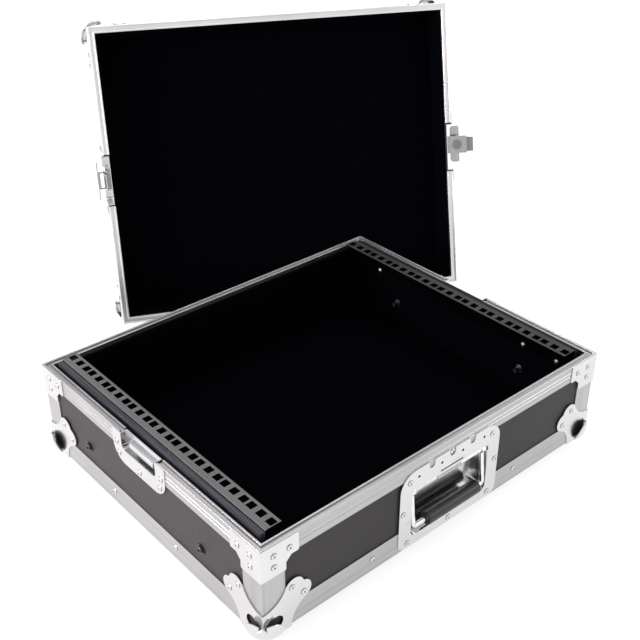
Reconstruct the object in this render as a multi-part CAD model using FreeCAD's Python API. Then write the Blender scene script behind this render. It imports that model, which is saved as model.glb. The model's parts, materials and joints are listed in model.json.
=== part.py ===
import FreeCAD, Part
import math
import os

os.makedirs("parts", exist_ok=True)

V = FreeCAD.Vector
AXIS_X = V(1, 0, 0)
AXIS_Y = V(0, 1, 0)
AXIS_Z = V(0, 0, 1)
ORIGIN = V(0, 0, 0)

# ---- case and lid, outside sizes over the extrusions (mm) ----
case_width = 531.0
case_depth = 430.0
base_height = 123.0
lid_height = 66.0
half_width = case_width / 2
half_depth = case_depth / 2
skin = 1.5                      # thickness of the extrusions; the panels lie this far back
panel_thick = 7.0
angle_leg = 30.0
plate_thick = 1.2               # pressed steel fittings
gap = 0.3                       # working clearance between moving pieces
running = 0.08                  # clearance of a pin in its bore, on the radius

# ---- where the lid stands, seen in the frame of the base ----
lid_yaw = -26.62
lid_lean = 16.57
lid_rim_centre_x = 209.0
lid_rim_centre_y = 322.3

# ---- ball corners ----
ball_inset = 15.0               # centre of the ball behind each outer face
ball_radius = 24.5
ball_shell = 1.1
dome_edge_centre = 7.5          # the dome on each face ends on a circle about this point
dome_edge_radius = 15.5
eye_centre = 17.0               # round opening of each ear in front of the edge of the dome
eye_radius = 8.5
foot = ball_radius - ball_inset # how far the balls stand out, so the height of the base off the floor
ear_start = 36.5
ear_hollow_centre = 69.0
ear_hollow_radius = 32.5
ear_lobe = (41.0, 51.0)
ear_lobe_radius = 12.3
ear_rivets = ((37.5, 53.0), (53.0, 37.5))

# ---- rim extrusion ----
rim_strip = 23.0
rim_inner_leg = 5.5
rim_groove_near = 2.2
rim_groove_far = 7.0
rim_groove_depth = 2.6
rim_line_drops = (8.5, 14.0)     # two fine lines along the outer face, below the top of the rim
rim_line_half = 0.6
rim_line_depth = 0.4
rim_width = skin + panel_thick + 1.0
panel_top_drop = 3.5
rim_gap_half = 37.5             # half of the length cut out of the rim at each latch

# ---- rack rails (19 inch standard) ----
rack_unit = 44.45
rack_units = 9
hole_pitches = (15.875, 15.875, 12.7)
square_hole = 9.5
hole_row_half = 465.1 / 2
rail_inner = 224.1
rail_outer = 245.0
rail_thick = 2.0
rail_top = 127.0
rail_drop = 34.0
rail_end_rear = 202.0
rail_end_front = -197.5
first_hole_y = 195.9
strip_outer = 252.0
strip_low = 95.0
strip_high = 125.0
strip_step = 106.0
rail_screw_y = (148.0, -120.0, -174.0)
rail_screw_z = 98.8
wall_bolt_y = (119.4, -110.3)
wall_bolt_z = 51.5
nut_flange_radius = 6.4
nut_collar_radius = 3.9
foam_clear = 0.6                # room round a nut in the wall foam

# ---- foam ----
floor_foam = 10.0
wall_foam = 5.7
lid_foam = 8.0

# ---- keeper dish (base) and latch dish (lid), measured along the side from its middle ----
dish_half = 52.0
dish_corner = 22.0
keeper_dish_low = 80.5
latch_dish_low = 6.0
recess_half = 34.0
recess_back = 258.3             # outer face of the recess back, from the middle of the case
keeper_recess_low = 101.0
latch_recess_low = 12.0
catch_half = 23.5
catch_low = 105.5
catch_high = 113.0
catch_outer = 263.0

# ---- latch: swing plate, hook, rotor and butterfly wing ----
swing_hinge_z = 30.0            # above the closed face of the lid
swing_face = 262.5              # inner face of the swing plate when it is folded in
swing_plate_thick = 1.5
swing_half = 13.4
swing_length = 38.0
swing_barrel = 2.6
swing_pin = 1.3
swing_flange = 2.9
hook_low = 1.65
hook_thick = 1.3
hook_half_root = 11.8
hook_half_tip = 10.6
hook_start = 7.0
hook_reach = 48.0
hook_lip_low = -3.6
hook_lip = 5.0
hook_travel = 10.0
rotor_at = 22.5                 # along the swing plate, from its hinge
rotor_low = 3.15
rotor_disc = 11.6
rotor_thick = 1.9
stem_radius = 4.0
stem_head = 7.5
stem_head_thick = 1.4
crank_radius = 5.0
crank_pin = 1.5
wing_pin = 1.0
wing_pin_height = 12.0
wing_half = 28.5
wing_back = 12.0
wing_front = 2.4
wing_thick = 1.5
lug_inner = 10.8
lug_outer = 12.4
lug_round = 2.4
right_swing_rest = 65.0
left_swing_rest = 0.0

# ---- handle on the front ----
handle_x = 5.5
handle_half = 81.0
handle_low = 2.5
handle_high = 109.0
handle_top_corner = 23.0
handle_low_corner = 10.0
handle_recess_half = 62.0
handle_recess_low = 15.5
handle_recess_high = 82.0
handle_recess_corner = 8.0       # lower corners; the upper ones leave room for the hinge eyes
handle_recess_top_corner = 3.0
handle_recess_depth = 13.5
hinge_back = 5.0                # hinge pin behind the front face
hinge_z = 75.0
hinge_pin_radius = 3.0
bail_half = 57.6
bail_rod = 3.0
bail_bend = 4.5
bail_eye_radius = 4.8
bail_eye_length = 5.5
bail_low_z = 27.8
grip_radius = 8.5
grip_from_x = -32.3
grip_to_x = 53.5
spring_radius = 3.7
spring_wire = 0.5
spring_half = 20.0
spring_pitch = 1.6

# ---- rivets and bolts ----
rivet_radius = 4.0
rivet_high = 1.7
rivet_dimple = 1.1


def box(x0, x1, y0, y1, z0, z1):
    return Part.makeBox(x1 - x0, y1 - y0, z1 - z0, V(x0, y0, z0))


def rod(radius, start, end):
    along = end - start
    return Part.makeCylinder(radius, along.Length, start, along)


def join(shapes):
    first = shapes[0]
    if len(shapes) == 1:
        return first
    return first.fuse(shapes[1:]).removeSplitter()


def group(shapes):
    return Part.makeCompound(shapes)


def flip_x(shape):
    return shape.mirror(ORIGIN, AXIS_X)


def flip_y(shape):
    return shape.mirror(ORIGIN, AXIS_Y)


def turned(shape, centre, axis, degrees):
    copy = shape.copy()
    copy.rotate(centre, axis, degrees)
    return copy


def moved(shape, offset):
    copy = shape.copy()
    copy.translate(offset)
    return copy


def outline(points):
    """Closed face from (x, y) corners; a corner written (x, y, r) is rounded by r."""
    count = len(points)
    edges = []
    starts = []
    ends = []
    arcs = []
    for i in range(count):
        here = V(points[i][0], points[i][1], 0)
        radius = points[i][2] if len(points[i]) > 2 else 0
        before = V(points[i - 1][0], points[i - 1][1], 0)
        after = V(points[(i + 1) % count][0], points[(i + 1) % count][1], 0)
        if radius == 0:
            starts.append(here)
            ends.append(here)
            arcs.append(None)
            continue
        back = (before - here).normalize()
        ahead = (after - here).normalize()
        half_angle = back.getAngle(ahead) / 2
        trim = radius / math.tan(half_angle)
        first = here + back * trim
        last = here + ahead * trim
        middle_way = (back + ahead).normalize()
        centre = here + middle_way * (radius / math.sin(half_angle))
        middle = centre - middle_way * radius
        starts.append(first)
        ends.append(last)
        arcs.append(Part.Arc(first, middle, last).toShape())
    for i in range(count):
        if arcs[i] is not None:
            edges.append(arcs[i])
        following = starts[(i + 1) % count]
        if (following - ends[i]).Length > 1e-6:
            edges.append(Part.makeLine(ends[i], following))
    return Part.Face(Part.Wire(edges))


def slab(points, low, high):
    """Upright prism over an outline in x and y."""
    return moved(outline(points), V(0, 0, low)).extrude(V(0, 0, high - low))


def front_slab(points, near, far):
    """Prism over an outline in x and z, reaching from y = near to y = far."""
    flat = turned(outline(points), ORIGIN, AXIS_X, 90)
    return moved(flat, V(0, near, 0)).extrude(V(0, far - near, 0))


def side_slab(points, near, far):
    """Prism over an outline in y and z, reaching from x = near to x = far."""
    flat = turned(turned(outline(points), ORIGIN, AXIS_X, 90), ORIGIN, AXIS_Z, 90)
    return moved(flat, V(near, 0, 0)).extrude(V(far - near, 0, 0))


def rivet(at, outward):
    """Domed rivet head with a dimple, sitting on a surface."""
    dome_radius = (rivet_radius ** 2 + rivet_high ** 2) / (2 * rivet_high)
    dome = Part.makeSphere(dome_radius, V(0, 0, rivet_high - dome_radius))
    keep = Part.makeCylinder(rivet_radius + 1, rivet_high + 1)
    head = dome.common(keep)
    head = head.cut(Part.makeSphere(rivet_dimple, V(0, 0, rivet_high + 0.3)))
    head.Placement = FreeCAD.Placement(at, FreeCAD.Rotation(AXIS_Z, outward))
    return head


def four_ways(shape):
    return [shape, flip_x(shape), flip_y(shape), flip_x(flip_y(shape))]


# ------------------------------------------------------------------ tray shared by base and lid
def tray_walls(height):
    """Closed panel and four walls of a tray whose closed face is at z = 0 and rim at z = height."""
    out_x = half_width - skin
    out_y = half_depth - skin
    low = skin + panel_thick
    high = height - panel_top_drop
    walls = {}
    walls["closed"] = box(-out_x, out_x, -out_y, out_y, skin, low)
    walls["front"] = box(-out_x, out_x, -out_y, -out_y + panel_thick, low, high)
    walls["rear"] = box(-out_x, out_x, out_y - panel_thick, out_y, low, high)
    in_y = out_y - panel_thick
    walls["left"] = box(-out_x, -out_x + panel_thick, -in_y, in_y, low, high)
    walls["right"] = box(out_x - panel_thick, out_x, -in_y, in_y, low, high)
    return walls


def rim_section(height):
    """Outline of the rim: x is measured inwards from the outer face, y upwards."""
    low = height - rim_strip
    wood_top = height - panel_top_drop
    inner = skin + panel_thick
    floor_z = height - rim_groove_depth
    soft = 0.7
    lines = []
    for drop in rim_line_drops:
        middle = height - drop
        lines += [(0, middle + rim_line_half), (rim_line_depth, middle), (0, middle - rim_line_half)]
    return [(0, low), (skin, low), (skin, wood_top), (inner, wood_top),
            (inner, height - rim_inner_leg), (rim_width, height - rim_inner_leg),
            (rim_width, height, soft), (rim_groove_far, height, soft), (rim_groove_far, floor_z),
            (rim_groove_near, floor_z), (rim_groove_near, height, soft), (0, height, soft)] + lines


def tray_rims(height):
    """Four mitred lengths of rim extrusion."""
    reach = 20.0
    front = side_slab([(p[0] - half_depth,) + tuple(p[1:]) for p in rim_section(height)],
                      -half_width, half_width)
    front_mitre = slab([(-half_width, -half_depth), (half_width, -half_depth),
                        (half_width - reach, -half_depth + reach),
                        (-half_width + reach, -half_depth + reach)], 0, height + 1)
    front = front.common(front_mitre)
    left = front_slab([(p[0] - half_width,) + tuple(p[1:]) for p in rim_section(height)],
                      -half_depth, half_depth)
    left_mitre = slab([(-half_width, -half_depth), (-half_width + reach, -half_depth + reach),
                       (-half_width + reach, half_depth - reach), (-half_width, half_depth)],
                      0, height + 1)
    left = left.common(left_mitre)
    left = left.cut(box(-half_width - 1, -half_width + reach, -rim_gap_half, rim_gap_half,
                        0, height + 1))
    return {"front": front, "rear": flip_y(front), "left": left, "right": flip_x(left)}


def tray_edges():
    """Four angles round the closed face; each stops where the upright angles begin."""
    x_reach = half_width - angle_leg
    y_reach = half_depth - angle_leg
    front = side_slab([(-half_depth, 0, 0.8), (-half_depth + angle_leg, 0),
                       (-half_depth + angle_leg, skin), (-half_depth + skin, skin),
                       (-half_depth + skin, angle_leg), (-half_depth, angle_leg)],
                      -x_reach, x_reach)
    left = front_slab([(-half_width, 0, 0.8), (-half_width + angle_leg, 0),
                       (-half_width + angle_leg, skin), (-half_width + skin, skin),
                       (-half_width + skin, angle_leg), (-half_width, angle_leg)],
                      -y_reach, y_reach)
    return [front, flip_y(front), left, flip_x(left)]


def tray_posts(height):
    """Four upright corner angles; they start under the ears of the ball corners and end at the rim."""
    x_out = -half_width
    y_out = -half_depth
    post = slab([(x_out, y_out, 0.8), (x_out + angle_leg, y_out), (x_out + angle_leg, y_out + skin),
                 (x_out + skin, y_out + skin), (x_out + skin, y_out + angle_leg),
                 (x_out, y_out + angle_leg)], angle_leg, height - rim_strip)
    return four_ways(post)


def arc_point(centre, radius, degrees):
    return V(centre[0] + radius * math.cos(math.radians(degrees)),
             centre[1] + radius * math.sin(math.radians(degrees)), 0)


def ear_face():
    """Ear of a ball corner on the plane z = 0; x and y run inwards from the two edges."""
    hollow = (0.0, ear_hollow_centre)
    lobe = ear_lobe
    a0 = V(0, ear_start, 0)
    a1 = V(29.7, 55.9, 0)
    a2 = V(53.1, 53.1, 0)
    first = [Part.Arc(a0, arc_point(hollow, ear_hollow_radius, -56.9), a1).toShape(),
             Part.Arc(a1, arc_point(lobe, ear_lobe_radius, 83.2), a2).toShape()]
    b0 = V(ear_start, 0, 0)
    b1 = V(55.9, 29.7, 0)
    b_hollow = (ear_hollow_centre, 0.0)
    b_lobe = (ear_lobe[1], ear_lobe[0])
    second = [Part.Arc(a2, arc_point(b_lobe, ear_lobe_radius, 6.8), b1).toShape(),
              Part.Arc(b1, arc_point(b_hollow, ear_hollow_radius, 146.9), b0).toShape()]
    out = -plate_thick
    closing = [Part.makeLine(b0, V(ear_start, out, 0)), Part.makeLine(V(ear_start, out, 0), V(out, out, 0)),
               Part.makeLine(V(out, out, 0), V(out, ear_start, 0)), Part.makeLine(V(out, ear_start, 0), a0)]
    return Part.Face(Part.Wire(first + second + closing))


def ball_corner():
    """Pressed ball corner for the corner at the origin; the case fills the positive octant."""
    ear = moved(ear_face(), V(0, 0, -plate_thick)).extrude(V(0, 0, plate_thick))
    eye = rod(eye_radius, V(eye_centre, eye_centre, -5), V(eye_centre, eye_centre, 5))
    under_dome = rod(dome_edge_radius - plate_thick, V(dome_edge_centre, dome_edge_centre, -5),
                     V(dome_edge_centre, dome_edge_centre, 5))
    ear = ear.cut(eye).cut(under_dome)
    far = 80.0
    centre = V(ball_inset, ball_inset, ball_inset)
    dome = Part.makeSphere(ball_radius, centre).cut(Part.makeSphere(ball_radius - ball_shell, centre))
    dome = dome.cut(box(skin, far, skin, far, skin, far))
    edge = rod(dome_edge_radius, V(dome_edge_centre, dome_edge_centre, -far),
               V(dome_edge_centre, dome_edge_centre, skin))
    beyond_edge = box(-far, far, -far, far, -far, skin).cut(edge)
    web = rod(2.2, V(0, 0, 16.5), V(0, 0, 20.5)).cut(box(0, 5, 0, 5, 0, 40))
    centre_line = V(1, 1, 1)
    pieces = [dome]
    for i in range(3):
        pieces[0] = pieces[0].cut(turned(beyond_edge, ORIGIN, centre_line, 120 * i))
        pieces += [turned(ear, ORIGIN, centre_line, 120 * i), turned(web, ORIGIN, centre_line, 120 * i)]
    return join(pieces)


def ball_corners():
    corner = moved(ball_corner(), V(-half_width, -half_depth, 0))
    return four_ways(corner)


def ear_rivet_set():
    """Rivets of all ears of one corner at the left front, as (position, outward) pairs."""
    found = []
    x0 = -half_width
    y0 = -half_depth
    for a, b in ear_rivets:
        found.append(rivet(V(x0 + a, y0 - plate_thick, b), V(0, -1, 0)))
        found.append(rivet(V(x0 - plate_thick, y0 + a, b), V(-1, 0, 0)))
        found.append(rivet(V(x0 + a, y0 + b, -plate_thick), V(0, 0, -1)))
    return found


def all_corners(pieces):
    result = []
    for piece in pieces:
        result += four_ways(piece)
    return result


# ------------------------------------------------------------------ base
def side_dish(height, dish_low, recess_low, side_out):
    """Pressed dish on the right-hand side, open at the rim."""
    face = side_out
    low = dish_low
    top = height - 0.4
    plate = side_slab([(-dish_half, low, dish_corner), (dish_half, low, dish_corner),
                       (dish_half, top), (-dish_half, top)], face, face + plate_thick)
    rim = plate_thick
    outer = side_slab([(-dish_half, low, dish_corner), (dish_half, low, dish_corner),
                       (dish_half, top), (-dish_half, top)], face - skin, face)
    inner = side_slab([(-dish_half + rim, low + rim, dish_corner - rim),
                       (dish_half - rim, low + rim, dish_corner - rim),
                       (dish_half - rim, top + 1), (-dish_half + rim, top + 1)],
                      face - skin - 1, face + 1)
    skirt_from = max(low, angle_leg + gap)
    skirt_to = height - rim_strip - gap
    panel_band = box(face - skin - 1, face + 1, -dish_half - 1, dish_half + 1, skirt_from, skirt_to)
    skirt = outer.cut(inner).common(panel_band)
    corner = 6.0
    back_inner = recess_back - plate_thick
    shell = side_slab([(-recess_half - rim, recess_low - rim, corner + rim),
                       (recess_half + rim, recess_low - rim, corner + rim),
                       (recess_half + rim, top), (-recess_half - rim, top)], back_inner, face)
    hollow = side_slab([(-recess_half, recess_low, corner), (recess_half, recess_low, corner),
                        (recess_half, height + 5), (-recess_half, height + 5)],
                       recess_back, face + 5)
    return join([plate, skirt, shell]).cut(hollow)


def dish_cutter(recess_low, height):
    """Room for a dish recess in the side panel, on the right-hand side."""
    rim = plate_thick
    corner = 6.0
    return side_slab([(-recess_half - rim, recess_low - rim, corner + rim),
                      (recess_half + rim, recess_low - rim, corner + rim),
                      (recess_half + rim, height + 5), (-recess_half - rim, height + 5)],
                     recess_back - plate_thick, half_width + 5)


def catch_bar():
    """Rolled catch on the right-hand keeper: the hook reaches in under its lower edge."""
    bar = 1.3
    roll = 3.0
    section = [(recess_back, catch_high - bar), (catch_outer - bar, catch_high - bar, roll - bar),
               (catch_outer - bar, catch_low), (catch_outer, catch_low),
               (catch_outer, catch_high, roll), (recess_back, catch_high)]
    return front_slab(section, -catch_half, catch_half)


def rail_hole_rows():
    rows = []
    y = first_hole_y
    for unit in range(rack_units):
        for step in hole_pitches:
            rows.append(y)
            y -= step
    return rows


def rack_rail():
    """Right-hand rail: angle with a row of square holes in its upward face."""
    section = [(rail_inner, rail_top - rail_thick), (rail_outer - rail_thick, rail_top - rail_thick),
               (rail_outer - rail_thick, rail_top - rail_drop), (rail_outer, rail_top - rail_drop),
               (rail_outer, rail_top, 1.6), (rail_inner, rail_top, 0.5)]
    rail = front_slab(section, rail_end_front, rail_end_rear)
    half = square_hole / 2
    cuts = [box(hole_row_half - half, hole_row_half + half, y - half, y + half,
                rail_top - 5, rail_top + 1) for y in rail_hole_rows()]
    cuts += [rod(2.6, V(rail_outer - 5, y, rail_screw_z), V(rail_outer + 5, y, rail_screw_z))
             for y in rail_screw_y]
    return rail.cut(group(cuts))


def mounting_strip():
    """Right-hand batten that carries the rail; its upper part stands clear of the rim."""
    wall = half_width - skin - panel_thick
    section = [(rail_outer, strip_low), (wall, strip_low), (wall, strip_step),
               (strip_outer, strip_step), (strip_outer, strip_high), (rail_outer, strip_high)]
    strip = front_slab(section, rail_end_front, rail_end_rear)
    holes = [rod(2.6, V(rail_outer - 1, y, rail_screw_z), V(wall + 1, y, rail_screw_z))
             for y in rail_screw_y]
    return strip.cut(group(holes))


def rail_screw(y):
    """Pan-head screw from inside through rail and batten into the wall."""
    wall = half_width - skin - panel_thick
    face = rail_outer - rail_thick
    head = Part.makeSphere(4.4, V(face + 2.2, y, rail_screw_z))
    head = head.common(box(face - 3, face, y - 9, y + 9, rail_screw_z - 9, rail_screw_z + 9))
    socket = box(face - 4, face - 1.2, y - 0.5, y + 0.5, rail_screw_z - 2.2, rail_screw_z + 2.2)
    shank = rod(2.5, V(face, y, rail_screw_z), V(wall, y, rail_screw_z))
    return join([head.cut(socket), shank])


def wall_bolt(y):
    """Button-head bolt through the right-hand wall, its end showing inside."""
    out = half_width - skin + 1.6
    head = rod(4.5, V(out, y, wall_bolt_z), V(out + 2.9, y, wall_bolt_z))
    rounded = Part.makeSphere(7.2, V(out - 4.3, y, wall_bolt_z))
    head = head.common(rounded)
    hexagon = Part.Face(Part.makePolygon([V(0, 1.9 * math.cos(math.radians(60 * i)),
                                            1.9 * math.sin(math.radians(60 * i))) for i in range(7)]))
    socket = moved(hexagon.extrude(V(4, 0, 0)), V(out + 1.0, y, wall_bolt_z))
    shank = rod(2.9, V(out - 20.0, y, wall_bolt_z), V(out, y, wall_bolt_z))
    return join([head, shank]).cut(socket)


def wall_washer(y):
    out = half_width - skin
    ring = rod(6.2, V(out, y, wall_bolt_z), V(out + 1.6, y, wall_bolt_z))
    return ring.cut(rod(3.0, V(out - 1, y, wall_bolt_z), V(out + 3, y, wall_bolt_z)))


def tee_nut(y):
    """Flanged nut against the inner face of the wall."""
    wall = half_width - skin - panel_thick
    flange = rod(nut_flange_radius, V(wall - 1.4, y, wall_bolt_z), V(wall, y, wall_bolt_z))
    collar = rod(nut_collar_radius, V(wall - 5.4, y, wall_bolt_z), V(wall - 1.4, y, wall_bolt_z))
    bore = rod(2.9, V(wall - 9, y, wall_bolt_z), V(wall + 1, y, wall_bolt_z))
    return join([flange, collar]).cut(bore)


def bolt_hole(y, radius):
    return rod(radius, V(half_width - 30, y, wall_bolt_z), V(half_width + 5, y, wall_bolt_z))


def rim_brace():
    """Corner brace under the rim at the left front corner, one plate on each face."""
    arm = 47.5
    x0 = -half_width
    y0 = -half_depth
    high = base_height - 0.8
    front = front_slab([(x0 - plate_thick, 82), (x0 + angle_leg + 1, 82, 2), (x0 + angle_leg + 1, 92),
                        (x0 + 38, 99), (x0 + arm, 99, 2), (x0 + arm, high, 2), (x0 - plate_thick, high)],
                       y0 - plate_thick, y0)
    side = side_slab([(y0 - plate_thick, 82), (y0 + angle_leg + 1, 82, 2), (y0 + angle_leg + 1, 92),
                      (y0 + 38, 99), (y0 + arm, 99, 2), (y0 + arm, high, 2), (y0 - plate_thick, high)],
                     x0 - plate_thick, x0)
    corner = box(x0 - plate_thick - 1, x0, y0 - plate_thick - 1, y0, 80, high + 1)
    soft_edge = rod(plate_thick, V(x0, y0, 82), V(x0, y0, high))
    flat = join([front, side]).cut(corner)
    return join([flat, soft_edge.cut(box(x0, x0 + 5, y0, y0 + 5, 80, high + 1))])


def rim_brace_rivets():
    found = []
    for along, z in ((35.5, 109.0), (15.5, 109.5), (15.5, 94.7)):
        found.append(rivet(V(-half_width + along, -half_depth - plate_thick, z), V(0, -1, 0)))
        found.append(rivet(V(-half_width - plate_thick, -half_depth + along, z), V(-1, 0, 0)))
    return found


def handle_recess_outline(grow):
    """Outline of the handle's recess, made larger all round by grow."""
    left = handle_x - handle_recess_half - grow
    right = handle_x + handle_recess_half + grow
    low = handle_recess_low - grow
    high = handle_recess_high + grow
    low_round = handle_recess_corner + grow
    top_round = handle_recess_top_corner + grow
    return [(left, low, low_round), (right, low, low_round), (right, high, top_round), (left, high, top_round)]


def handle_dish():
    """Pressed dish that holds the spring handle, on the front face."""
    x = handle_x
    face = -half_depth
    plate = front_slab([(x - handle_half, handle_low, handle_low_corner),
                        (x + handle_half, handle_low, handle_low_corner),
                        (x + handle_half, handle_high, handle_top_corner),
                        (x - handle_half, handle_high, handle_top_corner)],
                       face - plate_thick, face)
    shell = front_slab(handle_recess_outline(plate_thick), face, face + handle_recess_depth + plate_thick)
    hollow = front_slab(handle_recess_outline(0), face - 5, face + handle_recess_depth)
    dish = join([plate, shell]).cut(hollow)
    cuts = []
    for offset in (-33.0, 0.0, 33.0):
        cuts.append(rod(4.6, V(x + offset, face - 3, 104.0), V(x + offset, face, 104.0)))
        cuts.append(box(x + offset - 4.6, x + offset + 4.6, face - 3, face, 104.0, handle_high + 1))
    for offset in (-53.0, -17.0, 17.0, 53.0):
        cuts.append(rod(1.8, V(x + offset, face - 3, 98.0), V(x + offset, face, 98.0)))
    cuts.append(box(x - 18.5, x + 18.5, face - 3, face, 85.6, 87.4))
    pin_y = face + hinge_back
    cuts.append(rod(hinge_pin_radius, V(x - handle_half, pin_y, hinge_z), V(x + handle_half, pin_y, hinge_z)))
    return dish.cut(group(cuts))


def handle_cutter(grow):
    """Room for the handle recess in the front panel and its lining."""
    face = -half_depth
    return front_slab(handle_recess_outline(plate_thick + grow), face - 5, face + handle_recess_depth + plate_thick)


def handle_rivets():
    spots = ((-67.0, 9.5), (67.0, 9.5), (0.0, 8.5), (-75.4, 55.5), (75.4, 55.5), (-67.0, 96.0), (67.0, 96.0))
    return [rivet(V(handle_x + a, -half_depth - plate_thick, z), V(0, -1, 0)) for a, z in spots]


def hinge_pin():
    y = -half_depth + hinge_back
    reach = handle_recess_half + plate_thick
    return rod(hinge_pin_radius, V(handle_x - reach, y, hinge_z), V(handle_x + reach, y, hinge_z))


def hinge_spring():
    """Coil round the hinge pin, with one leg against the back of the dish."""
    y = -half_depth + hinge_back
    length = 2 * spring_half
    helix = Part.makeHelix(spring_pitch, length, spring_radius)
    start = V(spring_radius, 0, 0)
    profile = Part.Wire(Part.makeCircle(spring_wire, start, V(0, 1, 0)))
    coil = Part.Wire(helix).makePipeShell([profile], True, True)
    coil = turned(coil, ORIGIN, AXIS_Y, 90)
    return moved(coil, V(handle_x - spring_half, y, hinge_z))


def handle_bail():
    """Chromed rod: two arms with eyes on the hinge pin and a bottom bar for the grip."""
    x = handle_x
    top_y = -half_depth + hinge_back
    low_y = -half_depth
    top = V(x - bail_half, top_y, hinge_z)
    low = V(x - bail_half, low_y, bail_low_z)
    down = (low - top).normalize()
    bend_start = low - down * bail_bend
    bend_end = V(x - bail_half + bail_bend, low_y, bail_low_z)
    inward = ((bend_start - low) + (bend_end - low)).normalize()
    corner_half = (bend_start - low).getAngle(bend_end - low) / 2
    bend_radius = bail_bend * math.tan(corner_half)
    through = low + inward * (bail_bend / math.cos(corner_half) - bend_radius)
    arm_line = Part.makeLine(top, bend_start)
    bend = Part.Arc(bend_start, through, bend_end).toShape()
    bar = Part.makeLine(bend_end, V(x, low_y, bail_low_z))
    path = Part.Wire([arm_line, bend, bar])
    profile = Part.Wire(Part.makeCircle(bail_rod, top, down))
    half = path.makePipeShell([profile], True, True)
    eye = rod(bail_eye_radius, V(x - bail_half - bail_eye_length / 2, top_y, hinge_z),
              V(x - bail_half + bail_eye_length / 2, top_y, hinge_z))
    half = half.fuse(eye)
    half = half.common(box(x - 90, x, -half_depth - 40, -half_depth + 40, 0, 120))
    other = half.mirror(V(x, 0, 0), AXIS_X)
    whole = half.fuse(other).removeSplitter()
    bore = rod(hinge_pin_radius + running, V(x - 80, top_y, hinge_z), V(x + 80, top_y, hinge_z))
    return whole.cut(bore)


def handle_grip():
    y = -half_depth
    body = rod(grip_radius, V(grip_from_x, y, bail_low_z), V(grip_to_x, y, bail_low_z))
    ends = [edge for edge in body.Edges if abs(edge.Length - 2 * math.pi * grip_radius) < 0.1]
    body = body.makeFillet(1.6, ends)
    return body.cut(rod(bail_rod, V(grip_from_x - 5, y, bail_low_z), V(grip_to_x + 5, y, bail_low_z)))


def base_foam_walls():
    """Lining of the four walls; the front one carries a raised pad over the handle dish."""
    wall_x = half_width - skin - panel_thick
    wall_y = half_depth - skin - panel_thick
    low = skin + panel_thick + floor_foam
    high = base_height - rim_inner_leg - 1.0
    under_strip = rail_top - rail_drop - gap
    front = box(-wall_x, wall_x, -wall_y, -wall_y + wall_foam, low, high)
    strip_room = box(rail_outer - rail_thick - gap, wall_x, rail_end_front - gap, rail_end_rear + gap,
                     under_strip, high + 1)
    front = front.cut(handle_cutter(gap)).cut(strip_room).cut(flip_x(strip_room))
    rear = box(-wall_x, wall_x, wall_y - wall_foam, wall_y, low, high)
    rear = rear.cut(strip_room).cut(flip_x(strip_room))
    right = box(wall_x - wall_foam, wall_x, -wall_y + wall_foam, wall_y - wall_foam, low, under_strip)
    nuts = [bolt_hole(y, nut_flange_radius + foam_clear) for y in wall_bolt_y]
    right = right.cut(group(nuts))
    return front, rear, right


def handle_pad():
    """Raised foam pad over the back of the handle dish."""
    x = handle_x
    back = -half_depth + handle_recess_depth + plate_thick
    lining = -half_depth + skin + panel_thick + wall_foam
    reach = handle_recess_half + plate_thick + 16
    low = skin + panel_thick + floor_foam
    block = box(x - reach, x + reach, lining, back + 6.0, low, handle_recess_high + 14)
    return block.cut(handle_cutter(gap).fuse(box(x - reach, x + reach, -half_depth, lining, 0, 200)))


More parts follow.
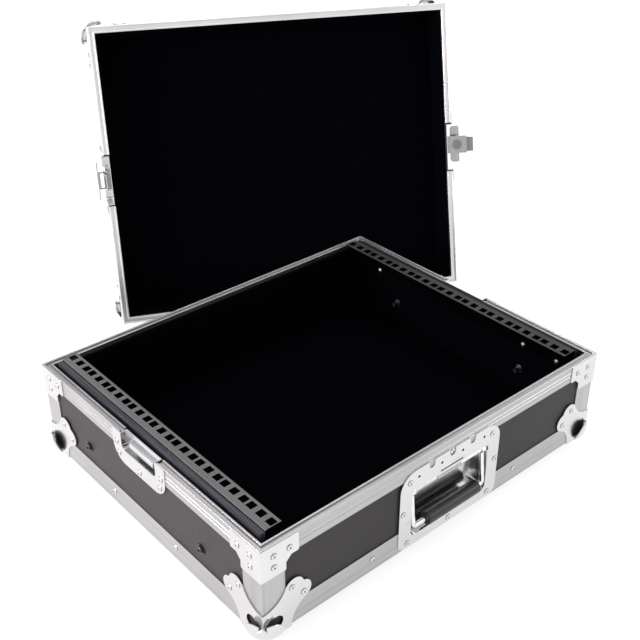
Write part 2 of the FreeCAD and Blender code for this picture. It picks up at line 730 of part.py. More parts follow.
def base_parts():
    walls = tray_walls(base_height)
    rims = tray_rims(base_height)
    parts = {}
    cutter = dish_cutter(keeper_recess_low, base_height)
    bolts_out = group([bolt_hole(y, 3.0) for y in wall_bolt_y])
    right_wall = walls["right"].cut(cutter).cut(bolts_out)
    parts["base_bottom_panel"] = walls["closed"]
    parts["base_front_panel"] = walls["front"].cut(handle_cutter(0.1))
    parts["base_rear_panel"] = walls["rear"]
    parts["base_right_panel"] = right_wall
    parts["base_left_panel"] = flip_x(right_wall)
    for side in ("front", "rear", "left", "right"):
        parts["base_rim_" + side] = rims[side]
    edges = tray_edges()
    edges[0] = edges[0].cut(handle_cutter(0.1))
    parts["base_edge_angles"] = group(edges)
    parts["base_corner_angles"] = group(tray_posts(base_height))
    parts["base_ball_corners"] = group(ball_corners())
    parts["base_rim_braces"] = group(four_ways(rim_brace()))
    rivets = all_corners(ear_rivet_set() + rim_brace_rivets()) + handle_rivets()
    dish_face = half_width + plate_thick
    for a, z in ((-44.5, 105.5), (44.5, 105.5), (-41.0, 91.5), (41.0, 91.5), (0.0, 87.0)):
        keeper = rivet(V(dish_face, a, z), V(1, 0, 0))
        rivets += [keeper, flip_x(keeper)]
    for a, z in ((67.0, 17.0), (-60.0, 18.0)):
        edge_rivet = rivet(V(half_width, a, z), V(1, 0, 0))
        rivets += [edge_rivet, flip_x(edge_rivet)]
    for a in (-114.0, 121.0):
        edge_rivet = rivet(V(a, -half_depth, 17.5), V(0, -1, 0))
        rivets += [edge_rivet, flip_y(edge_rivet)]
    rivets.append(rivet(V(handle_x, -half_depth, 105.0), V(0, -1, 0)))
    parts["base_rivets"] = group(rivets)
    floor_x = half_width - skin - panel_thick
    floor_y = half_depth - skin - panel_thick
    low = skin + panel_thick
    floor = box(-floor_x, floor_x, -floor_y, floor_y, low, low + floor_foam)
    parts["base_foam_floor"] = floor.cut(handle_cutter(gap))
    front, rear, right = base_foam_walls()
    parts["base_foam_walls"] = group([join([front, handle_pad()]), rear, right, flip_x(right)])
    rail = rack_rail()
    strip = mounting_strip()
    parts["rack_rail_right"] = rail
    parts["rack_rail_left"] = flip_x(rail)
    parts["mounting_strip_right"] = strip
    parts["mounting_strip_left"] = flip_x(strip)
    screws = [rail_screw(y) for y in rail_screw_y]
    parts["rail_screws"] = group(screws + [flip_x(s) for s in screws])
    bolts = [wall_bolt(y) for y in wall_bolt_y]
    parts["wall_bolts"] = group(bolts + [flip_x(b) for b in bolts])
    washers = [wall_washer(y) for y in wall_bolt_y]
    parts["wall_bolt_washers"] = group(washers + [flip_x(w) for w in washers])
    nuts = [tee_nut(y) for y in wall_bolt_y]
    parts["wall_tee_nuts"] = group(nuts + [flip_x(n) for n in nuts])
    keeper = side_dish(base_height, keeper_dish_low, keeper_recess_low, half_width)
    parts["keeper_dish_right"] = keeper
    parts["keeper_dish_left"] = flip_x(keeper)
    parts["catch_bar_right"] = catch_bar()
    parts["catch_bar_left"] = flip_x(catch_bar())
    parts["handle_dish"] = handle_dish()
    parts["handle_hinge_pin"] = hinge_pin()
    parts["handle_spring"] = hinge_spring()
    parts["handle_bail"] = handle_bail()
    parts["handle_grip"] = handle_grip()
    return parts


# ------------------------------------------------------------------ lid, built closed face down at z = 0
# The swing plate and what rides on it are drawn lying flat: x away from the hinge, y along the side, z up.
def to_side(shape):
    """From the swing plate's own frame (x away from hinge, y along side, z height) to the right side."""
    placed = shape.copy()
    frame = FreeCAD.Matrix(0, 0, 1, swing_face, 0, -1, 0, 0, 1, 0, 0, swing_hinge_z, 0, 0, 0, 1)
    placed.transformShape(frame, True)
    return placed


def swing_plate():
    half = swing_half
    floor = slab([(0, -half), (swing_length, -half, 2), (swing_length, half, 2), (0, half)],
                       0, swing_plate_thick)
    flanges = []
    for side in (-1, 1):
        edge = [(6.5, side * (half - 1.2)), (swing_length - 3, side * (half - 1.2)),
                (swing_length - 3, side * half), (6.5, side * half)]
        flanges.append(slab(edge, 0, swing_flange))
    axis_height = swing_plate_thick / 2
    barrel = rod(swing_barrel, V(0, -half, axis_height), V(0, half, axis_height))
    bore = rod(swing_pin + running, V(0, -half - 1, axis_height), V(0, half + 1, axis_height))
    hole = rod(stem_radius + running, V(rotor_at, 0, -1), V(rotor_at, 0, 4))
    return join([floor, barrel] + flanges).cut(bore).cut(hole)


def swing_pin_piece():
    """Hinge pin of the swing plate, carried by two lugs of the dish."""
    axis_height = swing_plate_thick / 2
    reach = swing_half + 3.2
    return rod(swing_pin, V(0, -reach, axis_height), V(0, reach, axis_height))


def swing_lugs():
    """Lugs that stand on the recess back and carry the swing pin."""
    axis_height = swing_plate_thick / 2
    floor_height = recess_back - swing_face
    lugs = []
    for side in (-1, 1):
        near = swing_half + 0.4
        y0 = min(side * near, side * (near + 2.8))
        lug = box(-3.2, 3.2, y0, y0 + 2.8, floor_height, axis_height)
        cap = rod(3.2, V(0, y0, axis_height), V(0, y0 + 2.8, axis_height))
        lugs.append(join([lug, cap]))
    bore = rod(swing_pin, V(0, -40, axis_height), V(0, 40, axis_height))
    return [lug.cut(bore) for lug in lugs]


def latch_hook():
    """Flat hook that slides on the swing plate and turns back on itself at the tip."""
    top = hook_low + hook_thick
    body = slab([(hook_start, -hook_half_root), (32, -hook_half_root), (hook_reach, -hook_half_tip),
                       (hook_reach, hook_half_tip), (32, hook_half_root), (hook_start, hook_half_root)],
                      hook_low, top)
    tip_from = hook_reach - hook_thick
    end = box(tip_from, hook_reach, -hook_half_tip, hook_half_tip, hook_lip_low, top)
    lip = box(hook_reach - hook_lip, hook_reach, -hook_half_tip, hook_half_tip,
              hook_lip_low, hook_lip_low + hook_thick)
    whole = join([body, end, lip])
    outer_edges = [edge for edge in whole.Edges
                   if abs(edge.Length - 2 * hook_half_tip) < 0.01
                   and edge.CenterOfMass.x > hook_reach - 0.01]
    whole = whole.makeFillet(1.1, outer_edges)
    room = stem_radius + 0.2
    slot = slab([(rotor_at - hook_travel - room, -room, room - 0.1), (rotor_at + room, -room, room - 0.1),
                 (rotor_at + room, room, room - 0.1), (rotor_at - hook_travel - room, room, room - 0.1)],
                hook_low - 1, top + 1)
    cross_half = crank_radius + crank_pin + 0.3
    cross_wide = crank_pin + 1.2
    cross = box(rotor_at - crank_radius - cross_wide, rotor_at - crank_radius + cross_wide,
                -cross_half, cross_half, hook_low - 1, top + 1)
    return whole.cut(slot).cut(cross)


def latch_rotor():
    """Turning disc with its stem through the plates, a crank pin for the hook and two lugs."""
    centre = V(rotor_at, 0, 0)
    disc_top = rotor_low + rotor_thick
    disc = rod(rotor_disc + 1.2, centre + V(0, 0, rotor_low), centre + V(0, 0, disc_top))
    stem = rod(stem_radius, centre + V(0, 0, -stem_head_thick), centre + V(0, 0, rotor_low))
    head = rod(stem_head, centre + V(0, 0, -stem_head_thick - 0.05), centre + V(0, 0, -0.05))
    crank = rod(crank_pin, V(rotor_at - crank_radius, 0, hook_low), V(rotor_at - crank_radius, 0, rotor_low))
    lugs = []
    for side in (-1, 1):
        y0 = min(side * lug_inner, side * lug_outer)
        wide = lug_outer - lug_inner
        post = box(rotor_at - lug_round, rotor_at + lug_round, y0, y0 + wide, rotor_low, wing_pin_height)
        cap = rod(lug_round, V(rotor_at, y0, wing_pin_height), V(rotor_at, y0 + wide, wing_pin_height))
        lugs += [post, cap]
    pin = rod(wing_pin, V(rotor_at, -lug_outer, wing_pin_height), V(rotor_at, lug_outer, wing_pin_height))
    return join([disc, stem, head, crank, pin] + lugs)


def latch_wing():
    """Butterfly wing, hinged on the rotor's lugs."""
    low = wing_pin_height + 0.5
    blade = slab([(rotor_at - wing_back, -wing_half, 5), (rotor_at + wing_front, -wing_half, 2),
                  (rotor_at + wing_front, wing_half, 2), (rotor_at - wing_back, wing_half, 5)],
                 low, low + wing_thick)
    barrel = rod(2.1, V(rotor_at, -lug_inner + gap, wing_pin_height), V(rotor_at, lug_inner - gap, wing_pin_height))
    whole = join([blade, barrel])
    room = lug_round + 0.6
    notches = []
    for side in (-1, 1):
        y0 = min(side * (lug_inner - gap), side * (lug_outer + gap))
        wide = lug_outer - lug_inner + 2 * gap
        notches.append(box(rotor_at - room, rotor_at + room, y0, y0 + wide, 0, 30))
    bore = rod(wing_pin + running, V(rotor_at, -30, wing_pin_height), V(rotor_at, 30, wing_pin_height))
    return whole.cut(group(notches)).cut(bore)


def latch_pieces(rest_angle):
    """Right-hand latch pieces, with the swing plate at its rest angle."""
    axis_point = V(swing_face + swing_plate_thick / 2, 0, swing_hinge_z)
    moving = {"swing_plate": swing_plate(), "hook": latch_hook(), "rotor": latch_rotor(), "wing": latch_wing()}
    placed = {}
    for name, piece in moving.items():
        placed[name] = turned(to_side(piece), axis_point, AXIS_Y, rest_angle)
    placed["pin"] = to_side(swing_pin_piece())
    return placed


def lid_parts():
    walls = tray_walls(lid_height)
    rims = tray_rims(lid_height)
    parts = {}
    cutter = dish_cutter(latch_recess_low, lid_height)
    right_wall = walls["right"].cut(cutter)
    parts["lid_closed_panel"] = walls["closed"]
    parts["lid_lower_panel"] = walls["front"]
    parts["lid_upper_panel"] = walls["rear"]
    parts["lid_right_panel"] = right_wall
    parts["lid_left_panel"] = flip_x(right_wall)
    parts["lid_rim_lower"] = rims["front"]
    parts["lid_rim_upper"] = rims["rear"]
    parts["lid_rim_left"] = rims["left"]
    parts["lid_rim_right"] = rims["right"]
    room = dish_cutter(latch_recess_low, lid_height)
    edges = tray_edges()
    edges[2] = edges[2].cut(flip_x(room))
    edges[3] = edges[3].cut(room)
    parts["lid_edge_angles"] = group(edges)
    parts["lid_corner_angles"] = group(tray_posts(lid_height))
    parts["lid_ball_corners"] = group(ball_corners())
    rivets = all_corners(ear_rivet_set())
    face = half_width + plate_thick
    for a, z in ((-44.5, 48.0), (44.5, 48.0), (-44.5, 28.0), (44.5, 28.0)):
        latch_rivet = rivet(V(face, a, z), V(1, 0, 0))
        rivets += [latch_rivet, flip_x(latch_rivet)]
    for a in (-114.0, 0.0, 114.0):
        edge_rivet = rivet(V(a, -half_depth, 17.5), V(0, -1, 0))
        rivets += [edge_rivet, flip_y(edge_rivet)]
    parts["lid_rivets"] = group(rivets)
    inner_x = half_width - skin - panel_thick
    inner_y = half_depth - skin - panel_thick
    low = skin + panel_thick
    high = lid_height - rim_inner_leg - 1.0
    parts["lid_foam_sheet"] = box(-inner_x, inner_x, -inner_y, inner_y, low, low + lid_foam)
    lining = box(-inner_x, inner_x, -inner_y, -inner_y + wall_foam, low + lid_foam, high)
    side_lining = box(inner_x - wall_foam, inner_x, -inner_y + wall_foam, inner_y - wall_foam,
                      low + lid_foam, high)
    side_lining = side_lining.cut(room)
    parts["lid_foam_walls"] = group([lining, flip_y(lining), side_lining, flip_x(side_lining)])
    lugs = [to_side(lug) for lug in swing_lugs()]
    dish = side_dish(lid_height, latch_dish_low, latch_recess_low, half_width)
    dish = join([dish] + lugs)
    parts["latch_dish_right"] = dish
    parts["latch_dish_left"] = flip_x(dish)
    right = latch_pieces(right_swing_rest)
    left = latch_pieces(left_swing_rest)
    for name in right:
        parts["latch_" + name + "_right"] = right[name]
        parts["latch_" + name + "_left"] = flip_x(left[name])
    return parts


def place_lid(shape):
    """Stand the lid behind the base: on edge, open side forward, leaning back, on its two lower balls."""
    lean = math.radians(lid_lean)
    rise = (half_depth - ball_inset) * math.cos(lean)
    rise += (lid_height - ball_inset) * math.sin(lean)
    centre = V(lid_rim_centre_x, lid_rim_centre_y, ball_radius + rise)
    turn = FreeCAD.Rotation(AXIS_Z, lid_yaw).multiply(FreeCAD.Rotation(AXIS_X, 90 - lid_lean))
    offset = centre - turn.multVec(V(0, 0, lid_height))
    placed = shape.copy()
    placed.transformShape(FreeCAD.Placement(offset, turn).toMatrix(), True)
    return placed


finished = {}
for node, shape in base_parts().items():
    finished[node] = moved(shape, V(0, 0, foot))
for node, shape in lid_parts().items():
    finished[node] = place_lid(shape)

for node, shape in finished.items():
    for solid in shape.Solids:
        if not solid.isValid():
            print("invalid solid in", node)
    print(node, len(shape.Solids), [round(value, 1) for value in
          (shape.BoundBox.XMin, shape.BoundBox.XMax, shape.BoundBox.YMin,
           shape.BoundBox.YMax, shape.BoundBox.ZMin, shape.BoundBox.ZMax)])
    shape.exportStep("parts/" + node + ".step")
print(len(finished), "nodes")
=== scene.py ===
import json
import math

import bpy
from mathutils import Matrix, Vector, noise


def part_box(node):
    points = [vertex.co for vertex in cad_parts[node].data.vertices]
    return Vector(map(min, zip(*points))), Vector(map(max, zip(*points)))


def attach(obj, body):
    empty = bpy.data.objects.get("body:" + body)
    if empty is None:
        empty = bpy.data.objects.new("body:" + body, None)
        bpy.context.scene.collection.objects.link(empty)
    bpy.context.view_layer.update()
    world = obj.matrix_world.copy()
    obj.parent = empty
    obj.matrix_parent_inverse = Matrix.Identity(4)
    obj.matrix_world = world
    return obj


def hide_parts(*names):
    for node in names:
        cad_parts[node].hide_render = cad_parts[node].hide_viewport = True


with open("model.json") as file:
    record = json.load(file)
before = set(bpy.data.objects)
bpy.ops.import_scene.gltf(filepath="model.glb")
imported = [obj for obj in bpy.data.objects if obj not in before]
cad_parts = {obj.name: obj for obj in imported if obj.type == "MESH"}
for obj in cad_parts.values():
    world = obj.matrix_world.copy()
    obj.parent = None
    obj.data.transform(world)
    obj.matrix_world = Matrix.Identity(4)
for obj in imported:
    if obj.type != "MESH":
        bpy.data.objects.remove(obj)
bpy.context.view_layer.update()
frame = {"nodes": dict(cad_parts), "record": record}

nodes = frame["nodes"]
SIDES = ("left", "right")

# ---------------------------------------------------------------- where the lid stands
LID_YAW = math.radians(-26.62)
LID_LEAN = math.radians(16.57)
LID_TURN = Matrix.Rotation(LID_YAW, 3, "Z") @ Matrix.Rotation(math.pi / 2 - LID_LEAN, 3, "X")

# ---------------------------------------------------------------- sizes of the case, in metres
HALF_WIDTH = 0.2655
HALF_DEPTH = 0.215
EDGE_BAND = 0.032               # a little more than the leg of an edge angle
SIDE_PIECE_AT = HALF_WIDTH - 0.0299    # beyond this the edge angles run front to rear
RIVET_DIMPLE = 0.00115          # radius of the sunk middle of a rivet head
RIVET_STEEP = 0.80              # cosine of the tilt beyond which a face belongs to the edge of a rivet

# ---------------------------------------------------------------- how bright the metals are; the lid's metals are lighter copies of the base's, painted light
BASE_BRIGHT = 0.46
LID_LIT_BRIGHT = 0.84


# ---------------------------------------------------------------- node helpers
class Graph:
    """Short spelling for building a material's nodes, in the base's frame or the lid's own."""

    def __init__(self, name, lid=False):
        self.mat = bpy.data.materials.new(name)
        self.mat.use_nodes = True
        self.tree = self.mat.node_tree
        self.shader = self.tree.nodes["Principled BSDF"]
        coords = self.tree.nodes.new("ShaderNodeTexCoord").outputs["Object"]
        if lid:
            turn = self.tree.nodes.new("ShaderNodeVectorRotate")
            turn.rotation_type = "EULER_XYZ"
            angles = LID_TURN.transposed().to_euler("XYZ")
            turn.inputs["Rotation"].default_value = (angles.x, angles.y, angles.z)
            self.link(coords, turn.inputs["Vector"])
            coords = turn.outputs[0]
        self.coords = coords

    def link(self, a, b):
        self.tree.links.new(a, b)

    def stretched(self, scale):
        node = self.tree.nodes.new("ShaderNodeMapping")
        node.vector_type = "POINT"
        node.inputs["Scale"].default_value = scale
        self.link(self.coords, node.inputs["Vector"])
        return node.outputs[0]

    def noise(self, scale=(1, 1, 1), size=1.0, detail=4.0, rough=0.55):
        node = self.tree.nodes.new("ShaderNodeTexNoise")
        node.inputs["Scale"].default_value = size
        node.inputs["Detail"].default_value = detail
        node.inputs["Roughness"].default_value = rough
        self.link(self.stretched(scale), node.inputs["Vector"])
        return node.outputs["Fac"]

    def cells(self, size, feature="F1"):
        node = self.tree.nodes.new("ShaderNodeTexVoronoi")
        node.feature = feature
        node.inputs["Scale"].default_value = size
        self.link(self.coords, node.inputs["Vector"])
        return node.outputs["Distance"]

    def ramp(self, value, stops):
        node = self.tree.nodes.new("ShaderNodeValToRGB")
        elements = node.color_ramp.elements
        while len(elements) < len(stops):
            elements.new(0.5)
        for element, (at, colour) in zip(elements, stops):
            element.position = at
            element.color = (*colour, 1)
        self.link(value, node.inputs["Fac"])
        return node.outputs["Color"]

    def span(self, value, low, high, from_low=0.0, from_high=1.0):
        node = self.tree.nodes.new("ShaderNodeMapRange")
        node.inputs["From Min"].default_value = from_low
        node.inputs["From Max"].default_value = from_high
        node.inputs["To Min"].default_value = low
        node.inputs["To Max"].default_value = high
        self.link(value, node.inputs["Value"])
        return node.outputs[0]

    def mix(self, factor, tone, colour):
        """Lays a plain colour over a tone, as far as the factor says."""
        node = self.tree.nodes.new("ShaderNodeMix")
        node.data_type = "RGBA"
        node.blend_type = "MIX"
        self.link(factor, node.inputs[0])
        self.link(tone, node.inputs[6])
        node.inputs[7].default_value = (*colour, 1)
        return node.outputs[2]

    def bump(self, height, strength, distance, normal=None):
        node = self.tree.nodes.new("ShaderNodeBump")
        node.inputs["Strength"].default_value = strength
        node.inputs["Distance"].default_value = distance
        self.link(height, node.inputs["Height"])
        if normal is not None:
            self.link(normal, node.inputs["Normal"])
        return node.outputs[0]

    def finish(self, colour, roughness, normal=None, metallic=0.0, **sockets):
        self.link(colour, self.shader.inputs["Base Color"])
        self.link(roughness, self.shader.inputs["Roughness"])
        if normal is not None:
            self.link(normal, self.shader.inputs["Normal"])
        self.shader.inputs["Metallic"].default_value = metallic
        for name, value in sockets.items():
            self.shader.inputs[name].default_value = value
        return self.mat


# ---------------------------------------------------------------- materials
# Texture scales are in waves per metre.
DIE_LINES = 1300.0
DIE_LINES_ALONG = 2.0
DIE_BANDS = 240.0
DIE_BANDS_ALONG = 0.8
PAINT_STREAKS = 500.0
PAINT_STREAKS_ALONG = 12.0
PAINT_CLOUDS = 30.0


def tinted(bright, red, green, blue):
    """A grey of the given brightness, with each channel scaled."""
    return bright * red, bright * green, bright * blue


def extruded_aluminium(name, run, lid, bright):
    """Anodised extrusion: fine die lines along the run (0, 1, 2 = x, y, z), smudges and small scratches."""
    g = Graph(name, lid)
    across = [DIE_LINES] * 3
    across[run] = DIE_LINES_ALONG
    coarse = [DIE_BANDS] * 3
    coarse[run] = DIE_BANDS_ALONG
    lines = g.noise(tuple(across), detail=2.0)
    bands = g.noise(tuple(coarse), detail=2.0)
    smudge = g.noise(size=9.0, detail=5.0)
    specks = g.noise(size=520.0, detail=2.0)
    tone = g.ramp(smudge, ((0.3, tinted(bright, 0.95, 0.935, 0.94)),
                           (0.7, tinted(bright, 1.06, 1.045, 1.05))))
    tone = g.mix(g.span(bands, 0.0, 0.30, 0.46, 0.66), tone, tinted(bright, 0.60, 0.585, 0.60))
    tone = g.mix(g.span(specks, 0.0, 0.35, 0.68, 0.74), tone, tinted(bright, 0.5, 0.5, 0.5))
    rough = g.span(smudge, 0.26, 0.38, 0.3, 0.7)
    normal = g.bump(lines, 0.22, 0.0002)
    normal = g.bump(bands, 0.35, 0.0004, normal)
    return g.finish(tone, rough, normal, 1.0)


def plated_steel(name, lid=False, bright=0.67, rough=0.16):
    """Zinc-bright pressed steel: faintly cloudy plating, light orange peel, hairline scratches."""
    g = Graph(name, lid)
    cloud = g.noise(size=14.0, detail=4.0, rough=0.5)
    peel = g.noise(size=90.0, detail=2.0)
    hair_a = g.noise((30.0, 900.0, 60.0), detail=1.0)
    hair_b = g.noise((800.0, 40.0, 90.0), detail=1.0)
    tone = g.ramp(cloud, ((0.3, tinted(bright, 0.955, 0.945, 0.96)),
                          (0.7, tinted(bright, 1.03, 1.02, 1.035))))
    scratch = g.span(hair_a, 0.0, 0.35, 0.68, 0.74)
    tone = g.mix(scratch, tone, tinted(bright, 0.8, 0.79, 0.81))
    roughness = g.span(cloud, rough, rough + 0.10, 0.3, 0.7)
    normal = g.bump(peel, 0.05, 0.0004)
    normal = g.bump(hair_b, 0.04, 0.0001, normal)
    return g.finish(tone, roughness, normal, 1.0)


def rivet_hollow_shade(name):
    """Painted shade for the hollow in the head of a rivet: a near-black steel standing in for the shade in
    the dimple.
    """
    g = Graph(name)
    shade_mottle = g.noise(size=900.0, detail=3.0)
    tone = g.ramp(shade_mottle, ((0.3, (0.012, 0.010, 0.012)), (0.7, (0.06, 0.055, 0.06))))
    return g.finish(tone, g.span(shade_mottle, 0.5, 0.8), g.bump(shade_mottle, 0.3, 0.0002), 0.4)


def chrome(name):
    """Polished rod: a mirror with a thin haze."""
    g = Graph(name)
    haze = g.noise(size=60.0, detail=5.0)
    tone = g.ramp(haze, ((0.3, (0.74, 0.74, 0.76)), (0.7, (0.82, 0.82, 0.84))))
    rough = g.span(haze, 0.05, 0.13, 0.3, 0.7)
    normal = g.bump(g.noise(size=700.0, detail=2.0), 0.04, 0.0001)
    return g.finish(tone, rough, normal, 1.0)


def laminate(name, lid=False):
    """Dark textured board facing: a fine pebbled grain over a mottled brownish grey."""
    g = Graph(name, lid)
    mottle = g.noise(size=55.0, detail=6.0, rough=0.65)
    broad = g.noise(size=7.0, detail=3.0)
    pebble = g.cells(900.0, "SMOOTH_F1")
    fine = g.noise(size=1500.0, detail=2.0)
    tone = g.ramp(mottle, ((0.25, (0.023, 0.0208, 0.0215)), (0.75, (0.043, 0.0390, 0.0402))))
    tone = g.mix(g.span(broad, 0.0, 0.35, 0.4, 0.7), tone, (0.046, 0.0425, 0.0430))
    tone = g.mix(g.span(fine, 0.0, 0.5, 0.6, 0.75), tone, (0.062, 0.058, 0.058))
    rough = g.span(mottle, 0.42, 0.60, 0.3, 0.7)
    normal = g.bump(pebble, 0.5, 0.0004)
    normal = g.bump(fine, 0.25, 0.0002, normal)
    return g.finish(tone, rough, normal, 0.0, **{"Specular IOR Level": 0.18})


def foam(name, lid=False):
    """Black closed-cell foam with a faint speckle and slightly crushed patches."""
    g = Graph(name, lid)
    speck = g.noise(size=1100.0, detail=3.0, rough=0.7)
    cells = g.cells(700.0)
    worn = g.noise(size=14.0, detail=5.0, rough=0.6)
    tone = g.ramp(speck, ((0.48, (0.0004, 0.0005, 0.0010)), (0.78, (0.0040, 0.0042, 0.0075))))
    tone = g.mix(g.span(worn, 0.0, 0.4, 0.4, 0.75), tone, (0.0009, 0.0010, 0.0020))
    rough = g.span(worn, 0.86, 1.0, 0.3, 0.7)
    normal = g.bump(cells, 0.7, 0.0006)
    normal = g.bump(speck, 0.5, 0.0005, normal)
    return g.finish(tone, rough, normal, **{"Specular IOR Level": 0.01})


def painted_black(name, tone_low, tone_high, rough_low=0.35, rough_high=0.5, streak_axis=None,
                  wear=0.25, shine=0.5):
    """Black paint with a fine texture, dull streaks and rubbed spots."""
    g = Graph(name)
    scale = [PAINT_CLOUDS] * 3
    if streak_axis is not None:
        scale = [PAINT_STREAKS] * 3
        scale[streak_axis] = PAINT_STREAKS_ALONG
    streaks = g.noise(tuple(scale), detail=4.0, rough=0.6)
    grit = g.noise(size=900.0, detail=2.0)
    rub = g.noise(size=110.0, detail=6.0, rough=0.7)
    tone = g.ramp(streaks, ((0.3, tone_low), (0.72, tone_high)))
    rubbed = tuple(5 * value + 0.03 for value in tone_high)
    tone = g.mix(g.span(rub, 0.0, wear, 0.62, 0.8), tone, rubbed)
    rough = g.span(streaks, rough_low, rough_high, 0.3, 0.7)
    normal = g.bump(grit, 0.2, 0.0002)
    return g.finish(tone, rough, normal, 0.0, **{"Specular IOR Level": shine})


def grip_rubber(name):
    """Moulded black rubber with a fine skin."""
    g = Graph(name)
    skin = g.noise(size=320.0, detail=4.0)
    broad = g.noise((12.0, 60.0, 60.0), detail=3.0)
    tone = g.ramp(broad, ((0.3, (0.006, 0.007, 0.006)), (0.7, (0.013, 0.015, 0.012))))
    rough = g.span(broad, 0.30, 0.42, 0.3, 0.7)
    normal = g.bump(skin, 0.12, 0.0003)
    return g.finish(tone, rough, normal, 0.0, **{"Specular IOR Level": 0.5})


ALONG = {}
for where, bright in (("base", BASE_BRIGHT), ("lid", LID_LIT_BRIGHT)):
    for axis, letter in enumerate("xyz"):
        name = "aluminium_" + where + "_" + letter
        ALONG[where, axis] = extruded_aluminium(name, axis, where == "lid", bright)

# The lid's plated steel is a lighter copy of the base's: painted light.
STEEL = {"base": plated_steel("plated_steel_base"), "lid": plated_steel("plated_steel_lid_lit", True, 0.80)}
LATCH = plated_steel("latch_steel", True, 0.50, 0.2)
# A darker copy of the latch steel for the hooks and rotors: painted shade on the hook's bent lip and the
# rotor.
LATCH_SHADE = plated_steel("latch_lip_painted_shade", True, 0.30, 0.3)
DISH = plated_steel("handle_dish_steel", bright=0.68, rough=0.09)
# Darker copy of the steel for the steep edge of each rivet head: painted shade around the domes.
RIVET_EDGE_SHADE = plated_steel("rivet_edge_painted_shade", bright=0.26, rough=0.3)
DARK_STEEL = plated_steel("inner_bolt_steel", bright=0.34, rough=0.3)
# Near-black steel for the rivets' dimples: painted shade.
RIVET_HOLLOW_SHADE = rivet_hollow_shade("rivet_hollow_shade")
CHROME = chrome("chrome_rod")
BOARD = {"base": laminate("laminate_base"), "lid": laminate("laminate_lid", True)}
FOAM = {"base": foam("foam_base"), "lid": foam("foam_lid", True)}
RUBBER = grip_rubber("grip_rubber")
BOLT = painted_black("bolt_black", (0.006, 0.006, 0.007), (0.016, 0.016, 0.018), 0.25, 0.4)
# The right rail and its strip are given a deeper black than the left ones: painted shade, lit and shaded
# copies of one paint.
RAIL_LIT_AND_SHADE = {
    "left": painted_black("rail_paint", (0.060, 0.063, 0.062), (0.105, 0.110, 0.108), streak_axis=1),
    "right": painted_black("rail_paint_painted_shade", (0.022, 0.023, 0.024), (0.046, 0.048, 0.051),
                           streak_axis=1, wear=0.1, shine=0.2)}
# Near-black copy of the rail paint for the rails' sides: painted shade below the lit tops.
RAIL_SIDE_SHADE = painted_black("rail_side_painted_shade", (0.0004, 0.0004, 0.0006), (0.0012, 0.0012, 0.0016),
                          rough_low=0.7, rough_high=0.9, streak_axis=1, wear=0.0, shine=0.0)
STRIP_LIT_AND_SHADE = {
    "left": painted_black("strip_finish", (0.004, 0.004, 0.006), (0.062, 0.058, 0.078),
                          rough_low=0.30, rough_high=0.5, streak_axis=1, wear=0.3, shine=0.35),
    "right": painted_black("strip_finish_painted_shade", (0.003, 0.003, 0.004), (0.022, 0.021, 0.027),
                           rough_low=0.4, rough_high=0.6, streak_axis=1, wear=0.1, shine=0.1)}


# ---------------------------------------------------------------- which node takes which material
def dress(node, *materials):
    """Puts the given materials in the node's slots."""
    obj = nodes[node]
    obj.data.materials.clear()
    for material in materials:
        obj.data.materials.append(material)
    return obj


def dress_by_run(node, where, shapes):
    """Extrusions grouped in one node: each loose solid's faces take the lines of the way it runs."""
    obj = dress(node, *[ALONG[where, axis] for axis in range(3)])
    for polygon in obj.data.polygons:
        polygon.material_index = shapes(polygon.center)


def lid_local(point):
    """A point in the lid's own frame: x across, y up the lid, z from the closed face to the rim."""
    return LID_TURN.transposed() @ point


def run_axis(x, y):
    """The way an edge angle runs: 0 for pieces along x, 1 for pieces along y."""
    return 0 if HALF_DEPTH - abs(y) < EDGE_BAND and abs(x) < SIDE_PIECE_AT else 1


def base_run(centre):
    return run_axis(centre.x, centre.y)


lid_low, lid_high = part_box("lid_closed_panel")
lid_centre = lid_local((lid_low + lid_high) / 2)


def lid_run(centre):
    local = lid_local(centre) - lid_centre
    return run_axis(local.x, local.y)


def dress_by_slot():
    """Nodes whose finish follows from the slot in the record; the rest are dressed further on."""
    for row in frame["record"]["subparts"]:
        name = row["node"]
        where = "lid" if name.startswith(("lid_", "latch_")) else "base"
        finishes = {"laminate": BOARD[where], "plated_steel": STEEL[where], "chrome": CHROME,
                    "bolt_dark": BOLT, "grip_rubber": RUBBER}
        if row["material_slot"] in finishes:
            dress(name, finishes[row["material_slot"]])


dress_by_slot()
for where, crosswise in (("base", ("front", "rear")), ("lid", ("lower", "upper"))):
    for side in crosswise:
        dress(where + "_rim_" + side, ALONG[where, 0])
    for side in SIDES:
        dress(where + "_rim_" + side, ALONG[where, 1])
    dress(where + "_corner_angles", ALONG[where, 2])
dress_by_run("base_edge_angles", "base", base_run)
dress_by_run("lid_edge_angles", "lid", lid_run)
dress("handle_dish", DISH)
dress("wall_tee_nuts", DARK_STEEL)
dress("rail_screws", DARK_STEEL)
for side in SIDES:
    dress("latch_swing_plate_" + side, LATCH)
    dress("latch_wing_" + side, LATCH)
    dress("latch_rotor_" + side, LATCH_SHADE)
    dress("latch_hook_" + side, LATCH_SHADE)
    dress("mounting_strip_" + side, STRIP_LIT_AND_SHADE[side])
    rail = dress("rack_rail_" + side, RAIL_LIT_AND_SHADE[side], RAIL_SIDE_SHADE)
    # Faces that point up take the rail paint, all others the near-black copy: painted shade on the rails'
    # sides.
    for polygon in rail.data.polygons:
        polygon.material_index = 0 if polygon.normal.z > 0.5 else 1


def loose_pieces(mesh):
    """The faces of a mesh as one list per piece that hangs together."""
    parent = list(range(len(mesh.vertices)))

    def root(index):
        while parent[index] != index:
            parent[index] = parent[parent[index]]
            index = parent[index]
        return index

    places = {}
    for vertex in mesh.vertices:
        key = tuple(round(value, 6) for value in vertex.co)
        parent[root(vertex.index)] = root(places.setdefault(key, vertex.index))
    for polygon in mesh.polygons:
        first = polygon.vertices[0]
        for other in polygon.vertices[1:]:
            parent[root(other)] = root(first)
    pieces = {}
    for polygon in mesh.polygons:
        pieces.setdefault(root(polygon.vertices[0]), []).append(polygon)
    return list(pieces.values())


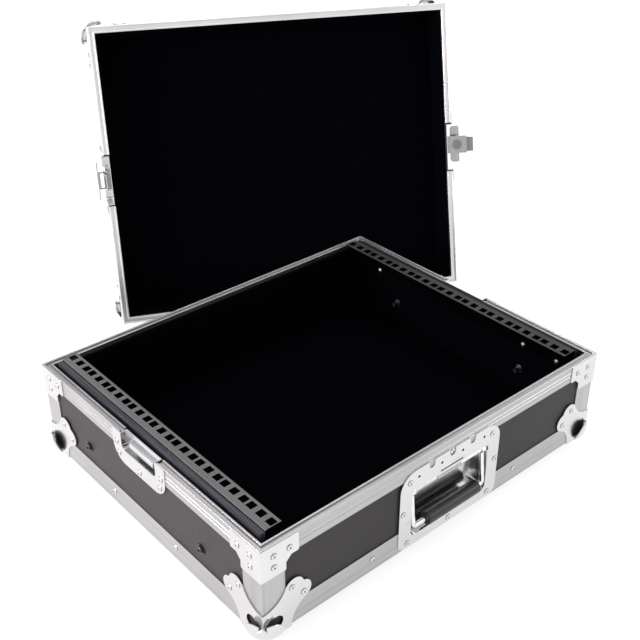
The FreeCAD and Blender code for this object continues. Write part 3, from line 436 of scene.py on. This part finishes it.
def paint_rivet_shade(node, steel, local):
    """Paints shade into every rivet head: the sunk middle takes the near-black copy of the steel, and the
    steep edge a darker copy, both standing in for the shade there.
    """
    mesh = dress(node, steel, RIVET_HOLLOW_SHADE, RIVET_EDGE_SHADE).data
    for polygons in loose_pieces(mesh):
        corners = [local(mesh.vertices[i].co) for polygon in polygons for i in polygon.vertices]
        low = Vector([min(c[k] for c in corners) for k in range(3)])
        high = Vector([max(c[k] for c in corners) for k in range(3)])
        size = high - low
        axis = min(range(3), key=lambda k: size[k])
        middle = (low + high) / 2
        for polygon in polygons:
            away = local(polygon.center) - middle
            away[axis] = 0.0
            steep = abs(local(polygon.normal)[axis]) < RIVET_STEEP
            if away.length < RIVET_DIMPLE:
                polygon.material_index = 1
            elif steep:
                polygon.material_index = 2


paint_rivet_shade("base_rivets", STEEL["base"], Vector)
paint_rivet_shade("lid_rivets", STEEL["lid"], lid_local)


# ---------------------------------------------------------------- foam, built over its plain solids
SHEET_VOXEL = 0.0026
WALL_VOXEL = 0.0019
BROAD_WAVE = (28.0, 0.00035)    # waves per metre, and height
FINE_WAVE = (140.0, 0.00012)


def foam_piece(node, body, name, material, voxel):
    """A lining with soft cut edges and a slightly uneven, hand-glued surface."""
    piece = bpy.data.objects.new(name, nodes[node].data.copy())
    bpy.context.scene.collection.objects.link(piece)
    remesh = piece.modifiers.new("even", "REMESH")
    remesh.mode = "VOXEL"
    remesh.voxel_size = voxel
    smooth = piece.modifiers.new("soften", "SMOOTH")
    smooth.iterations = 2
    bpy.context.view_layer.update()
    evaluated = piece.evaluated_get(bpy.context.evaluated_depsgraph_get())
    finished = bpy.data.meshes.new_from_object(evaluated)
    piece.modifiers.clear()
    piece.data = finished
    normals = [vertex.normal.copy() for vertex in finished.vertices]
    moved = []
    for vertex, normal in zip(finished.vertices, normals):
        wave = sum(noise.noise(vertex.co * often) * high for often, high in (BROAD_WAVE, FINE_WAVE))
        moved.extend(vertex.co + normal * wave)
    finished.vertices.foreach_set("co", moved)
    finished.materials.clear()
    finished.materials.append(material)
    finished.polygons.foreach_set("use_smooth", [True] * len(finished.polygons))
    finished.update()
    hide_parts(node)
    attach(piece, body)


foam_piece("base_foam_floor", "base", "floor_lining", FOAM["base"], SHEET_VOXEL)
foam_piece("base_foam_walls", "base", "wall_lining", FOAM["base"], WALL_VOXEL)
foam_piece("lid_foam_sheet", "lid", "lid_sheet_lining", FOAM["lid"], SHEET_VOXEL)
foam_piece("lid_foam_walls", "lid", "lid_wall_lining", FOAM["lid"], WALL_VOXEL)


# ---------------------------------------------------------------- stage, light and camera
FLOOR_HALF = 14.0
FLOOR_GLOW = 0.72
FLOOR_DROP = 0.0002             # keeps the floor just clear of the lowest points of the balls
WORLD_LIGHT = 0.80
WARM = (1.0, 0.93, 0.955)
CAMERA_AT = Vector((-0.6954, -0.7974, 0.8322))
VIEW_RIGHT = Vector((0.75464, -0.65614, 0.0))
VIEW_FORWARD = Vector((0.55989, 0.64479, -0.52036))
LENS = 57.84


def floor_material():
    """Plain pale studio sweep, faintly lit from within so that it stays white."""
    g = Graph("studio_floor")
    soft = g.noise(size=1.5, detail=3.0)
    tone = g.ramp(soft, ((0.3, (0.36, 0.36, 0.36)), (0.7, (0.38, 0.38, 0.38))))
    g.shader.inputs["Emission Color"].default_value = (1, 1, 1, 1)
    g.shader.inputs["Emission Strength"].default_value = FLOOR_GLOW
    return g.finish(tone, g.span(soft, 0.85, 0.95))


def stage_floor():
    mesh = bpy.data.meshes.new("studio_floor")
    corners = [(FLOOR_HALF * x, FLOOR_HALF * y, 0) for x, y in ((-1, -1), (1, -1), (1, 1), (-1, 1))]
    mesh.from_pydata(corners, [], [(0, 1, 2, 3)])
    floor = bpy.data.objects.new("studio_floor", mesh)
    bpy.context.scene.collection.objects.link(floor)
    mesh.materials.append(floor_material())
    floor.location.z = -FLOOR_DROP


def area_light(name, at, towards, size, watts, colour=(1, 1, 1)):
    data = bpy.data.lights.new(name, "AREA")
    data.shape = "RECTANGLE"
    data.size = size[0]
    data.size_y = size[1]
    data.energy = watts
    data.color = colour
    lamp = bpy.data.objects.new(name, data)
    bpy.context.scene.collection.objects.link(lamp)
    lamp.location = at
    lamp.rotation_euler = (Vector(towards) - Vector(at)).to_track_quat("-Z", "Y").to_euler()


def light_world():
    world = bpy.data.worlds.new("studio")
    bpy.context.scene.world = world
    world.use_nodes = True
    background = world.node_tree.nodes["Background"]
    background.inputs["Color"].default_value = (1, 1, 1, 1)
    background.inputs["Strength"].default_value = WORLD_LIGHT


def place_camera():
    data = bpy.data.cameras.new("camera")
    data.sensor_width = 36.0
    data.lens = LENS
    data.clip_end = 60.0
    camera = bpy.data.objects.new("camera", data)
    bpy.context.scene.collection.objects.link(camera)
    view_up = VIEW_RIGHT.cross(VIEW_FORWARD).normalized()
    axes = Matrix((VIEW_RIGHT, view_up, -VIEW_FORWARD)).transposed().to_4x4()
    axes.translation = CAMERA_AT
    camera.matrix_world = axes
    bpy.context.scene.camera = camera


stage_floor()
area_light("key", (-3.0, 0.9, 1.0), (0, 0, 0.1), (1.6, 1.2), 135, WARM)
area_light("top", (0.6, 0.6, 3.0), (0, 0, 0), (2.0, 2.0), 36)
area_light("front_fill", (0.95, -0.95, 0.55), (0.25, -0.2, 0.06), (0.6, 0.6), 3.5)
light_world()
place_camera()
bpy.context.scene.view_settings.view_transform = "Standard"
bpy.context.scene.view_settings.look = "None"
